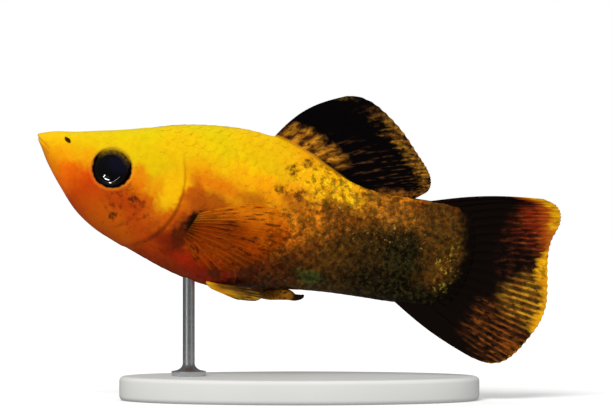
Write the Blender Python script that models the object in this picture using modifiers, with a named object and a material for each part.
"""A gold-dust sailfin molly, an adult male, as a still life-size model on a display stand.

Run with: blender --background --python part.py
Metres, +Z up. The fish's head points to -X and its left side to -Y.
The fish is drawn in millimetres in its own frame and then pitched nose up on the stand:
  u runs back from the tip of the snout along the body's axis,
  v runs up from that axis, and y is to the fish's right.
"""

import math

import bmesh
import bpy
from mathutils import Matrix, Vector

MM = 0.001
GAP = 0.3

# Pose and stand
PITCH = math.radians(17)
TAIL_CLEARANCE = 2.0
BASE_LENGTH, BASE_WIDTH, BASE_THICK = 54.0, 34.0, 3.6
BASE_EDGE = 0.6
ROD_RADIUS = 0.9
ROD_FOOT_RADIUS, ROD_FOOT_THICK = 2.6, 0.9
ROD_AT = 28.0

# The body's sections: distance behind the snout, top, bottom, half width, level of the widest
# point, and how square the upper and the lower half are (2 is an ellipse)
SECTIONS = (
    (0.0, 0.0, 0.0, 0.0, 0.0, 2.2, 2.0),
    (0.8, 0.6, -1.3, 1.7, -0.35, 2.3, 2.0),
    (2.6, 1.35, -3.6, 2.75, -0.85, 2.5, 2.1),
    (5.3, 2.1, -6.3, 3.45, -1.3, 2.7, 2.1),
    (8.7, 3.3, -9.2, 4.05, -1.6, 2.8, 2.1),
    (12.0, 4.45, -10.9, 4.5, -1.7, 2.8, 2.1),
    (15.0, 5.65, -11.8, 4.8, -1.9, 2.7, 2.1),
    (19.9, 7.75, -12.95, 5.1, -2.2, 2.4, 2.1),
    (25.0, 9.2, -13.95, 5.3, -2.4, 2.2, 2.1),
    (30.0, 10.05, -14.3, 5.15, -2.4, 2.1, 2.1),
    (34.4, 10.05, -13.75, 4.75, -2.3, 2.0, 2.1),
    (38.6, 9.3, -12.5, 4.2, -2.0, 2.0, 2.0),
    (43.2, 7.9, -11.05, 3.55, -1.7, 2.0, 2.0),
    (48.0, 6.75, -9.95, 2.9, -1.5, 2.0, 2.0),
    (53.0, 6.7, -9.05, 2.3, -1.2, 2.0, 2.0),
    (58.0, 7.55, -8.4, 1.75, -0.6, 2.0, 2.0),
    (63.0, 8.35, -7.8, 1.15, 0.0, 2.0, 2.0),
    (69.0, 8.9, -7.6, 0.75, 0.2, 2.0, 2.0),
)
TOP, BOTTOM, HALF_WIDTH, WIDEST, SQUARE_ABOVE, SQUARE_BELOW = range(1, 7)

# Where the body is parted
GILL_CENTRE, GILL_LENGTH, GILL_HEIGHT = (14.5, -2.5), 9.0, 10.0
GILL_SWELL, SWELL_FROM, SWELL_TO = 0.3, 9.0, 19.0
TAIL_FROM = 48.0
TAIL_END_CENTRE, TAIL_END_RADIUS = (54.8, 0.0), 12.2
RING_POINTS = 36

# Head
EYE_AT, EYE_RADIUS, EYE_DEPTH, EYE_PROUD = (12.3, -1.5), 2.9, 1.75, 0.65
NOSTRIL_AT, NOSTRIL_LENGTH, NOSTRIL_WIDTH = (4.3, 0.6), 0.62, 0.34
MOUTH_LEVEL, MOUTH_SLOPE, MOUTH_CORNER = -0.3, 0.5, 2.6
LIP_RADIUS, LIP_SINK, LIP_SPREAD, MOUTH_LINE_RADIUS = 0.42, 0.22, 0.45, 0.17

# Fins: thickness of a ray at its root, of the membrane, and of the margin
RAY_THICK, MEMBRANE_THICK, MARGIN_THICK = 1.0, 0.52, 0.34
COLUMNS_PER_RAY = 4

SKIN_GOLD = (0.93, 0.62, 0.02)
SKIN_DUSK = (0.16, 0.10, 0.02)
FIN_BLACK = (0.035, 0.025, 0.015)
FIN_AMBER = (0.62, 0.28, 0.03)
EYE_BLACK = (0.012, 0.012, 0.02)
BASE_WHITE = (0.82, 0.82, 0.80)
ROD_STEEL = (0.62, 0.63, 0.65)


def clear_scene():
    for obj in list(bpy.data.objects):
        bpy.data.objects.remove(obj)


def material(name, colour, roughness, metallic=0.0):
    made = bpy.data.materials.new(name)
    made.use_nodes = True
    shader = made.node_tree.nodes["Principled BSDF"]
    shader.inputs["Base Color"].default_value = (*colour, 1.0)
    shader.inputs["Roughness"].default_value = roughness
    shader.inputs["Metallic"].default_value = metallic
    return made


def smooth_step(x):
    x = min(max(x, 0.0), 1.0)
    return x * x * (3 - 2 * x)


def through(points, x):
    """A smooth curve through rows that start with a rising number, read at x."""
    last = len(points) - 1
    k = 0
    while k < last - 1 and x > points[k + 1][0]:
        k += 1
    a, b = points[k], points[k + 1]
    before = points[max(k - 1, 0)]
    after = points[min(k + 2, last)]
    span = b[0] - a[0]
    t = (x - a[0]) / span
    row = []
    for i in range(1, len(a)):
        slope_a = (b[i] - before[i]) / (b[0] - before[0]) * span
        slope_b = (after[i] - a[i]) / (after[0] - a[0]) * span
        row.append(
            (2 * t**3 - 3 * t**2 + 1) * a[i]
            + (t**3 - 2 * t**2 + t) * slope_a
            + (3 * t**2 - 2 * t**3) * b[i]
            + (t**3 - t**2) * slope_b
        )
    return row


# Read against the square root of the distance, the sections close round the snout
ROUNDED = tuple((math.sqrt(row[0]), *row[1:]) for row in SECTIONS)


def section(u):
    return (u, *through(ROUNDED, math.sqrt(max(u, 0.0))))


def swell(u):
    """How far the gill cover stands out from the trunk's own width."""
    return GILL_SWELL * smooth_step((u - SWELL_FROM) / (SWELL_TO - SWELL_FROM))


def rounded_power(x, square):
    return math.copysign(abs(x) ** (2 / square), x)


def skin_point(u, angle, extra=0.0):
    """The point of the body's surface at u, with angle 0 on the back and pi on the belly."""
    row = section(u)
    up = math.cos(angle)
    square = row[SQUARE_ABOVE] if up > 0 else row[SQUARE_BELOW]
    reach = row[TOP] - row[WIDEST] if up > 0 else row[WIDEST] - row[BOTTOM]
    y = (row[HALF_WIDTH] + extra) * rounded_power(math.sin(angle), square)
    return Vector((u, y, row[WIDEST] + reach * rounded_power(up, square)))


def flank_width(u, v):
    """Half the body's width at distance u and level v, or 0 outside it."""
    row = section(u)
    above = v > row[WIDEST]
    square = row[SQUARE_ABOVE] if above else row[SQUARE_BELOW]
    reach = row[TOP] - row[WIDEST] if above else row[WIDEST] - row[BOTTOM]
    share = abs(v - row[WIDEST]) / max(reach, 1e-6)
    return row[HALF_WIDTH] * max(0.0, 1 - share**square) ** (1 / square)


def belly_level(u, y):
    """The level of the body's underside at distance u and y from the midline."""
    row = section(u)
    share = min(abs(y) / row[HALF_WIDTH], 1.0)
    square = row[SQUARE_BELOW]
    return row[WIDEST] - (row[WIDEST] - row[BOTTOM]) * (1 - share**square) ** (1 / square)


def new_object(name, mesh, group):
    made = bpy.data.objects.new(name, mesh)
    group.objects.link(made)
    return made


def mesh_from(name, bm):
    mesh = bpy.data.meshes.new(name)
    bmesh.ops.recalc_face_normals(bm, faces=bm.faces)
    bm.to_mesh(mesh)
    bm.free()
    return mesh


def loft(name, stations, group, extra=None):
    """The body between the first and the last station as one closed mesh."""
    bm = bmesh.new()
    rings = []
    for u in stations:
        wider = extra(u) if extra else 0.0
        if u == 0:
            rings.append([bm.verts.new((0.0, 0.0, 0.0))] * RING_POINTS)
            continue
        angles = [2 * math.pi * k / RING_POINTS for k in range(RING_POINTS)]
        rings.append([bm.verts.new(skin_point(u, a, wider) * MM) for a in angles])
    for ring, after in zip(rings, rings[1:]):
        for k in range(RING_POINTS):
            n = (k + 1) % RING_POINTS
            corners = dict.fromkeys((ring[k], ring[n], after[n], after[k]))
            bm.faces.new(list(corners))
    for ring in (rings[0], rings[-1]):
        if ring[0] is not ring[1]:
            bm.faces.new(ring)
    return new_object(name, mesh_from(name, bm), group)


def applied(obj):
    """Gives the object the mesh that its modifiers make, and drops them."""
    bpy.context.view_layer.update()
    graph = bpy.context.evaluated_depsgraph_get()
    made = bpy.data.meshes.new_from_object(obj.evaluated_get(graph))
    obj.modifiers.clear()
    obj.data = made
    return obj


def boolean(obj, operation, other):
    step = obj.modifiers.new(operation.title(), "BOOLEAN")
    step.operation = operation
    if isinstance(other, bpy.types.Collection):
        step.operand_type = "COLLECTION"
        step.collection = other
    else:
        step.object = other
    applied(obj)


def keep_largest(obj):
    """Leaves only the largest closed surface of the object's mesh."""
    bm = bmesh.new()
    bm.from_mesh(obj.data)
    bmesh.ops.remove_doubles(bm, verts=bm.verts, dist=1e-6)
    left = set(bm.faces)
    islands = []
    while left:
        grown = {left.pop()}
        edge = list(grown)
        while edge:
            near = {f for e in edge.pop().edges for f in e.link_faces} & left
            left -= near
            grown |= near
            edge.extend(near)
        islands.append(grown)
    islands.sort(key=lambda faces: sum(f.calc_area() for f in faces))
    for faces in islands[:-1]:
        bmesh.ops.delete(bm, geom=list(faces), context="FACES")
    bm.to_mesh(obj.data)
    bm.free()


def spare_group(name):
    """A collection for pieces that are joined or that cut, and aren't shown."""
    group = bpy.data.collections.new(name)
    bpy.context.scene.collection.children.link(group)
    group.hide_render = True
    return group


def helper(obj):
    obj.hide_render = True
    obj.display_type = "WIRE"
    return obj


def empty_group(group):
    for obj in list(group.objects):
        bpy.data.objects.remove(obj)


def gill_cutter(name, group, grow):
    """A prism over the head in side view, whose rear edge is the gill cover's round margin."""
    centre_u, centre_v = GILL_CENTRE
    half = 20
    outline = []
    for k in range(half + 1):
        angle = math.pi / 2 - math.pi * k / half
        outline.append(
            (
                centre_u + (GILL_LENGTH + grow) * math.cos(angle),
                centre_v + (GILL_HEIGHT + grow) * math.sin(angle),
            )
        )
    far = 20.0
    outline += [(centre_u, -far), (-far, -far), (-far, far), (centre_u, far)]
    bm = bmesh.new()
    near_side = [bm.verts.new((u * MM, -far * MM, v * MM)) for u, v in outline]
    bm.faces.new(near_side)
    made = bmesh.ops.extrude_face_region(bm, geom=bm.faces[:])
    moved = [v for v in made["geom"] if isinstance(v, bmesh.types.BMVert)]
    bmesh.ops.translate(bm, verts=moved, vec=(0, 2 * far * MM, 0))
    return helper(new_object(name, mesh_from(name, bm), group))


def ellipsoid(name, group, centre, radii, turn=None, segments=24, rings=12):
    """A sphere stretched along its own axes, turned, and set at centre."""
    bm = bmesh.new()
    bmesh.ops.create_uvsphere(bm, u_segments=segments, v_segments=rings, radius=MM)
    shape = Matrix.Diagonal((*radii, 1.0))
    place = Matrix.Translation(centre * MM) @ (turn or Matrix.Identity(4)) @ shape
    bmesh.ops.transform(bm, matrix=place, verts=bm.verts)
    return new_object(name, mesh_from(name, bm), group)


def tube(name, group, points, radii, flatten=1.0):
    """A round bar through the points, as a closed mesh. flatten scales it across."""
    curve = bpy.data.curves.new(name, "CURVE")
    curve.dimensions = "3D"
    curve.bevel_depth = MM
    curve.bevel_resolution = 2
    curve.use_fill_caps = True
    spline = curve.splines.new("POLY")
    spline.points.add(len(points) - 1)
    for place, point, radius in zip(spline.points, points, radii):
        place.co = (*(point * MM), 1.0)
        place.radius = radius
    drawn = new_object(name + "_line", curve, group)
    bpy.context.view_layer.update()
    graph = bpy.context.evaluated_depsgraph_get()
    mesh = bpy.data.meshes.new_from_object(drawn.evaluated_get(graph))
    bpy.data.objects.remove(drawn)
    bm = bmesh.new()
    bm.from_mesh(mesh)
    bmesh.ops.remove_doubles(bm, verts=bm.verts, dist=1e-6)
    bmesh.ops.scale(bm, vec=(1.0, flatten, 1.0), verts=bm.verts)
    return new_object(name, mesh_from(name, bm), group)


def mouth_path(lift, sink, reach=1.0):
    """A line round the snout beside the mouth's own, from the left corner to the right."""
    level = MOUTH_LEVEL + lift
    front = 0.0
    while flank_width(front + 0.01, level - MOUTH_SLOPE * front) <= 0 and front < 2:
        front += 0.01
    half = 7
    points = []
    for k in range(-half, half + 1):
        t = k / half * reach
        u = front + 0.01 + (MOUTH_CORNER - front) * t * t
        v = level - MOUTH_SLOPE * u
        wide = flank_width(u, v)
        y = math.copysign(max(wide - sink * abs(t), 0.0), t) if k else 0.0
        points.append(Vector((u + sink * (1 - abs(t)), y, v)))
    return points


def nostril_turn(side):
    """Lays a nostril's long axis along the slant that it has on the snout."""
    return Matrix.Rotation(math.radians(22), 4, "Y") @ Matrix.Rotation(
        side * math.radians(-14), 4, "Z"
    )


def eye_frame(side):
    """The eye's centre, and the turn that makes its local Z point out of the head."""
    u, v = EYE_AT
    width = flank_width(u, v) + EYE_PROUD - EYE_DEPTH
    out = Vector((-0.10, side, 0.07)).normalized()
    return Vector((u, side * width, v)), out.to_track_quat("Z", "X").to_matrix().to_4x4()


def build_head(group):
    stations = [0, 0.12, 0.4, 0.8, 1.4, 2.1, 3.0, 4.1, 5.3, 6.8, 8.4, 10, 12, 14, 16]
    stations += [18, 20, 22, 24.5]
    head = loft("head", stations, group, swell)
    cutter = gill_cutter("gill_line", group, 0.0)
    boolean(head, "INTERSECT", cutter)
    bpy.data.objects.remove(cutter)

    added = spare_group("head_added")
    path = mouth_path(LIP_SPREAD, LIP_SINK)
    thin_ends = [0.6 + 0.4 * math.sin(math.pi * k / (len(path) - 1)) for k in range(len(path))]
    radii = [LIP_RADIUS * share for share in thin_ends]
    tube("lip_above", added, path, radii)
    tube("lip_below", added, mouth_path(-LIP_SPREAD, LIP_SINK), radii)
    for side in (-1, 1):
        u, v = NOSTRIL_AT
        centre = Vector((u, side * (flank_width(u, v) - 0.08), v))
        rim = (NOSTRIL_LENGTH + 0.22, 0.3, NOSTRIL_WIDTH + 0.22)
        ellipsoid(f"nostril_rim_{side}", added, centre, rim, nostril_turn(side), 14, 8)
    boolean(head, "UNION", added)
    empty_group(added)

    line = mouth_path(0.0, 0.02, 1.02)
    tube("mouth_line", added, line, [MOUTH_LINE_RADIUS] * len(line))
    for side in (-1, 1):
        u, v = NOSTRIL_AT
        centre = Vector((u, side * (flank_width(u, v) + 0.12), v))
        pit = (NOSTRIL_LENGTH, 0.5, NOSTRIL_WIDTH)
        ellipsoid(f"nostril_pit_{side}", added, centre, pit, nostril_turn(side), 12, 8)
        centre, turn = eye_frame(side)
        socket = [EYE_RADIUS + GAP, EYE_RADIUS + GAP, EYE_DEPTH + GAP]
        ellipsoid(f"socket_{side}", added, centre, socket, turn)
    boolean(head, "DIFFERENCE", added)
    empty_group(added)
    keep_largest(head)
    return head


def build_eye(name, side, group):
    centre, turn = eye_frame(side)
    return ellipsoid(name, group, centre, (EYE_RADIUS, EYE_RADIUS, EYE_DEPTH), turn)


def build_trunk(group):
    step = 1.7
    count = round((TAIL_FROM - GILL_CENTRE[0]) / step)
    first = GILL_CENTRE[0] - 0.5
    stations = [first + (TAIL_FROM - first) * k / count for k in range(count + 1)]
    trunk = loft("trunk", stations, group)
    cutter = gill_cutter("gill_line", group, GAP)
    boolean(trunk, "DIFFERENCE", cutter)
    bpy.data.objects.remove(cutter)
    keep_largest(trunk)
    return trunk


def build_tail(group):
    """The tail's fleshy root, ending in the round line where the fin rays start."""
    count = 12
    first, last = TAIL_FROM + GAP, SECTIONS[-1][0]
    stations = [first + (last - first) * k / count for k in range(count + 1)]
    tail = loft("tail", stations, group)
    bm = bmesh.new()
    radius, depth = TAIL_END_RADIUS * MM, 20 * MM
    bmesh.ops.create_cone(
        bm, cap_ends=True, segments=96, radius1=radius, radius2=radius, depth=depth
    )
    centre_u, centre_v = TAIL_END_CENTRE
    place = Matrix.Translation(Vector((centre_u, 0, centre_v)) * MM)
    turned = place @ Matrix.Rotation(math.pi / 2, 4, "X")
    bmesh.ops.transform(bm, matrix=turned, verts=bm.verts)
    cutter = helper(new_object("tail_end", mesh_from("tail_end", bm), group))
    boolean(tail, "INTERSECT", cutter)
    bpy.data.objects.remove(cutter)
    keep_largest(tail)
    return tail


def ray_ridge(s, t, rays, forks):
    """1 on the crest of a ray and 0 between rays. Forked rays are double towards the margin."""
    across = (s * rays) % 1.0
    single = math.sin(math.pi * across) ** 2
    if not forks:
        return single
    double = math.sin(2 * math.pi * across) ** 2
    split = smooth_step((t - 0.35) / 0.3)
    return single * (1 - split) + double * split


def fin(name, group, place, rays, rows, root_thick=RAY_THICK, forks=True):
    """A fin as one ribbed sheet. place(s, t) is its middle surface: s from the first ray to the
    last, and t from the root to the margin. Both faces share one split into triangles."""
    columns = rays * (COLUMNS_PER_RAY if forks else 2)
    bm = bmesh.new()
    bmesh.ops.create_grid(bm, x_segments=columns, y_segments=rows, size=0.5)
    thick = bm.verts.layers.deform.verify()
    for vert in bm.verts:
        s, t = vert.co.x + 0.5, vert.co.y + 0.5
        ridge = ray_ridge(s, t, rays, forks)
        root = 1 - smooth_step(t / 0.25)
        at_ray = root_thick + (MARGIN_THICK + 0.12 - root_thick) * t
        between = MEMBRANE_THICK + (root_thick - MEMBRANE_THICK) * root
        between += (MARGIN_THICK - between) * t * t
        vert[thick][0] = (between + (at_ray - between) * ridge) / root_thick
        vert.co = place(s, t * (1 - 0.03 * t * (1 - ridge))) * MM
    bmesh.ops.triangulate(bm, faces=bm.faces[:], quad_method="FIXED")
    mesh = bpy.data.meshes.new(name)
    bm.to_mesh(mesh)
    bm.free()
    sheet = new_object(name, mesh, group)
    sheet.vertex_groups.new(name="thickness")
    solid = sheet.modifiers.new("Thickness", "SOLIDIFY")
    solid.thickness = root_thick * MM
    solid.offset = 0.0
    solid.vertex_group = "thickness"
    solid.use_even_offset = False
    applied(sheet)
    bm = bmesh.new()
    bm.from_mesh(sheet.data)
    sheet.data = mesh_from(name, bm)
    return sheet


def bowed(root, tip, t, bow):
    """A point at t on a ray from root to tip that arches towards the fin's leading edge."""
    along = tip - root
    over = Vector((-along.z, 0.0, along.x)).normalized()
    return root + along * t + over * (bow * math.sin(math.pi * t))


DORSAL_ROOT = (33.8, 56.4)
DORSAL_RAYS = 13
# The dorsal fin's margin: share of the way along the fin's root, then u and v of the ray's tip
DORSAL_MARGIN = (
    (0.0, 42.7, 19.15),
    (0.05, 44.6, 19.55),
    (0.12, 47.3, 19.1),
    (0.26, 51.7, 16.8),
    (0.4, 55.2, 14.0),
    (0.55, 57.5, 12.0),
    (0.7, 58.45, 10.5),
    (0.85, 58.45, 9.1),
    (1.0, 57.6, 8.1),
)
DORSAL_BOW, DORSAL_SWAY = 1.25, 0.7


def dorsal_place(s, t):
    """The dorsal fin leans back, with the tip of its rear lobe swung a little to the left."""
    first, last = DORSAL_ROOT
    u = first + (last - first) * s
    root = Vector((u, 0.0, section(u)[TOP] + GAP))
    tip_u, tip_v = through(DORSAL_MARGIN, s)
    point = bowed(root, Vector((tip_u, 0.0, tip_v)), t, DORSAL_BOW * (1 - s) ** 2)
    point.y = -DORSAL_SWAY * t * t * math.sin(math.pi * (0.2 + 0.7 * s))
    return point


CAUDAL_RAYS = 18
CAUDAL_EDGE_FROM = (58.6, 58.6)
CAUDAL_EDGE_SHARE = 0.1
# The tail fin's margin: share of the way down the fin's root, then u and v of the ray's tip
CAUDAL_MARGIN = (
    (0.0, 75.4, 12.95),
    (0.1, 77.4, 12.6),
    (0.18, 78.5, 11.6),
    (0.27, 78.85, 9.9),
    (0.36, 78.4, 7.2),
    (0.45, 78.7, 4.3),
    (0.53, 79.6, 1.1),
    (0.61, 80.3, -2.0),
    (0.69, 80.1, -4.9),
    (0.77, 79.15, -7.6),
    (0.85, 77.9, -10.2),
    (0.92, 76.3, -12.1),
    (0.97, 74.2, -12.95),
    (1.0, 72.0, -12.95),
)
CAUDAL_BOW, CAUDAL_SWAY = (0.65, -0.2), 1.1


def caudal_root(s):
    """The tail fin's root: along the back, round the tail's end and along the underside."""
    centre_u, centre_v = TAIL_END_CENTRE
    radius = TAIL_END_RADIUS + GAP
    upper, lower = math.radians(43.5), math.radians(-39.5)
    if s < CAUDAL_EDGE_SHARE:
        last = centre_u + radius * math.cos(upper)
        u = CAUDAL_EDGE_FROM[0] + (last - CAUDAL_EDGE_FROM[0]) * s / CAUDAL_EDGE_SHARE
        return Vector((u, 0.0, section(u)[TOP] + GAP))
    if s > 1 - CAUDAL_EDGE_SHARE:
        last = centre_u + radius * math.cos(lower)
        u = CAUDAL_EDGE_FROM[1] + (last - CAUDAL_EDGE_FROM[1]) * (1 - s) / CAUDAL_EDGE_SHARE
        return Vector((u, 0.0, section(u)[BOTTOM] - GAP))
    share = (s - CAUDAL_EDGE_SHARE) / (1 - 2 * CAUDAL_EDGE_SHARE)
    angle = upper + (lower - upper) * share
    return Vector(
        (centre_u + radius * math.cos(angle), 0.0, centre_v + radius * math.sin(angle))
    )


def caudal_place(s, t):
    tip_u, tip_v = through(CAUDAL_MARGIN, s)
    first, last = CAUDAL_BOW
    bow = first + (last - first) * s
    point = bowed(caudal_root(s), Vector((tip_u, 0.0, tip_v)), t, bow)
    point.y = CAUDAL_SWAY * t * t * math.sin(2 * math.pi * (0.85 * s - 0.15))
    return point


PECTORAL_RAYS = 12
PECTORAL_ROOT = ((26.7, -4.1), (25.5, -8.4))
# The pectoral fin's rays: share of the way down its root, direction in degrees above the
# body's axis, and length
PECTORAL_FAN = (
    (0.0, 24.0, 9.8),
    (0.12, 19.0, 12.9),
    (0.3, 14.0, 14.2),
    (0.48, 7.0, 14.0),
    (0.65, -2.5, 12.3),
    (0.8, -15.0, 9.8),
    (0.92, -30.0, 6.9),
    (1.0, -48.0, 4.2),
)
PECTORAL_ARCH = 0.6
PECTORAL_OUT = math.tan(math.radians(17))


def pectoral_place(s, t, side):
    """A pectoral fin lies along the flank at its root and swings out towards its margin."""
    (top_u, top_v), (low_u, low_v) = PECTORAL_ROOT
    u, v = top_u + (low_u - top_u) * s, top_v + (low_v - top_v) * s
    heading, length = through(PECTORAL_FAN, s)
    heading = math.radians(heading)
    out = length * t
    y = flank_width(u, v) + GAP + RAY_THICK / 2 + PECTORAL_OUT * out * out / (out + 2.5)
    y += 0.25 * math.sin(math.pi * s) * t
    arch = PECTORAL_ARCH * math.sin(math.pi * t) * (1 - s)
    return Vector((u + out * math.cos(heading), side * y, v + out * math.sin(heading) + arch))


PELVIC_RAYS = 6
PELVIC_ROOT = ((30.6, 2.0), (31.8, 0.75))
# The pelvic fin's rays: share of the way from the outer ray to the inner, then u, the distance
# from the midline, and v of the ray's tip
PELVIC_MARGIN = (
    (0.0, 36.8, 3.3, -12.5),
    (0.3, 39.2, 2.95, -13.1),
    (0.6, 38.6, 2.1, -14.2),
    (1.0, 35.8, 1.3, -14.9),
)
PELVIC_SAG = 0.12


def pelvic_place(s, t, side):
    """A pelvic fin is folded back along the belly."""
    (out_u, out_y), (in_u, in_y) = PELVIC_ROOT
    u, y = out_u + (in_u - out_u) * s, out_y + (in_y - out_y) * s
    root = Vector((u, y, belly_level(u, y) - GAP - RAY_THICK / 2))
    tip = Vector(through(PELVIC_MARGIN, s))
    point = root.lerp(tip, t)
    point.z -= PELVIC_SAG * math.sin(math.pi * t)
    point.y *= side
    return point


def build_gonopodium(group):
    """The male's rod-like anal fin, carried close under the belly, with a hooked tip."""
    line = (
        (38.3, 0.55, 0.42),
        (39.2, 0.64, 0.6),
        (40.4, 0.7, 0.66),
        (41.8, 0.7, 0.64),
        (42.9, 0.78, 0.54),
        (43.9, 0.96, 0.44),
        (44.8, 0.74, 0.36),
        (45.1, 0.36, 0.2),
    )
    points = []
    for u, below, radius in line:
        points.append(Vector((u, 0.0, section(u)[BOTTOM] - GAP - below)))
    return tube("gonopodium", group, points, [radius for _, _, radius in line], 0.8)


def build_base(group):
    bm = bmesh.new()
    bmesh.ops.create_cone(
        bm, cap_ends=True, segments=64, radius1=MM / 2, radius2=MM / 2, depth=BASE_THICK * MM
    )
    bmesh.ops.scale(bm, vec=(BASE_LENGTH, BASE_WIDTH, 1.0), verts=bm.verts)
    bmesh.ops.translate(bm, vec=(0, 0, BASE_THICK / 2 * MM), verts=bm.verts)
    base = new_object("stand_base", mesh_from("stand_base", bm), group)
    edge = base.modifiers.new("Edge", "BEVEL")
    edge.width = BASE_EDGE * MM
    edge.segments = 2
    edge.angle_limit = math.radians(40)
    return applied(base)


def build_rod(group, foot, top, slope):
    """The rod is a turned profile with a small foot. Its top is cut along the belly's slope."""
    low, high = BASE_THICK + GAP, top
    profile = (
        (0.0, high),
        (ROD_RADIUS, high),
        (ROD_RADIUS, low + ROD_FOOT_THICK + 0.7),
        (ROD_FOOT_RADIUS * 0.62, low + ROD_FOOT_THICK),
        (ROD_FOOT_RADIUS, low + ROD_FOOT_THICK * 0.6),
        (ROD_FOOT_RADIUS, low),
        (0.0, low),
    )
    bm = bmesh.new()
    ring = [bm.verts.new((x * MM, 0.0, z * MM)) for x, z in profile]
    for a, b in zip(ring, ring[1:]):
        bm.edges.new((a, b))
    mesh = bpy.data.meshes.new("stand_rod")
    bm.to_mesh(mesh)
    bm.free()
    rod = new_object("stand_rod", mesh, group)
    turned = rod.modifiers.new("Turned", "SCREW")
    turned.steps = turned.render_steps = 24
    turned.use_merge_vertices = True
    turned.merge_threshold = 1e-6
    applied(rod)
    for vert in rod.data.vertices:
        if vert.co.z > (high - 0.01) * MM:
            vert.co.z += slope * vert.co.x
        vert.co.x += foot * MM
    bm = bmesh.new()
    bm.from_mesh(rod.data)
    rod.data = mesh_from("stand_rod", bm)
    return rod


def corners_of(objects):
    bpy.context.view_layer.update()
    graph = bpy.context.evaluated_depsgraph_get()
    points = []
    for obj in objects:
        shown = obj.evaluated_get(graph)
        points += [shown.matrix_world @ vert.co for vert in shown.data.vertices]
    low = Vector([min(p[i] for p in points) for i in range(3)])
    high = Vector([max(p[i] for p in points) for i in range(3)])
    return low, high


def shade(obj, finish):
    obj.data.materials.clear()
    obj.data.materials.append(finish)
    obj.data.shade_smooth()
    obj.data.set_sharp_from_angle(angle=math.radians(40))


def main():
    clear_scene()
    group = bpy.data.collections.new("sailfin_molly")
    bpy.context.scene.collection.children.link(group)
    gold = material("gold_skin", SKIN_GOLD, 0.35)
    dusk = material("mottled_skin", SKIN_DUSK, 0.38)
    black = material("black_fin", FIN_BLACK, 0.45)
    amber = material("amber_fin", FIN_AMBER, 0.4)
    dark_eye = material("eye", EYE_BLACK, 0.06)
    white = material("stand_lacquer", BASE_WHITE, 0.35)
    steel = material("stand_steel", ROD_STEEL, 0.25, 1.0)

    fish = {}
    fish["head"] = (build_head(group), gold)
    fish["trunk"] = (build_trunk(group), gold)
    fish["tail"] = (build_tail(group), dusk)
    dorsal = fin("dorsal_fin", group, dorsal_place, DORSAL_RAYS, 8)
    fish["dorsal_fin"] = (dorsal, black)
    caudal = fin("caudal_fin", group, caudal_place, CAUDAL_RAYS, 9, 1.15)
    fish["caudal_fin"] = (caudal, black)
    fish["gonopodium"] = (build_gonopodium(group), dusk)
    for word, side in (("left", -1), ("right", 1)):
        eye = build_eye(f"eye_{word}", side, group)
        fish[eye.name] = (eye, dark_eye)

        def pectoral(s, t, side=side):
            return pectoral_place(s, t, side)

        def pelvic(s, t, side=side):
            return pelvic_place(s, t, side)

        made = fin(f"pectoral_fin_{word}", group, pectoral, PECTORAL_RAYS, 6, forks=False)
        fish[made.name] = (made, amber)
        made = fin(f"pelvic_fin_{word}", group, pelvic, PELVIC_RAYS, 5, 0.9, forks=False)
        fish[made.name] = (made, amber)

    pose = bpy.data.objects.new("fish_pose", None)
    group.objects.link(pose)
    pose.rotation_euler = (0.0, PITCH, 0.0)
    for obj, finish in fish.values():
        obj.parent = pose
        shade(obj, finish)
    low, high = corners_of([obj for obj, _ in fish.values()])
    lift = (BASE_THICK + TAIL_CLEARANCE) * MM - low.z
    pose.location = (-(low.x + high.x) / 2, 0.0, lift)
    bpy.context.view_layer.update()

    under = section(ROD_AT)[BOTTOM]
    near = section(ROD_AT + 1)[BOTTOM]
    touch = pose.matrix_world @ (Vector((ROD_AT, 0.0, under)) * MM)
    beyond = pose.matrix_world @ (Vector((ROD_AT + 1, 0.0, near)) * MM)
    slope = (beyond.z - touch.z) / (beyond.x - touch.x)
    rod = build_rod(group, touch.x / MM, touch.z / MM - GAP, slope)
    shade(rod, steel)
    shade(build_base(group), white)


main()
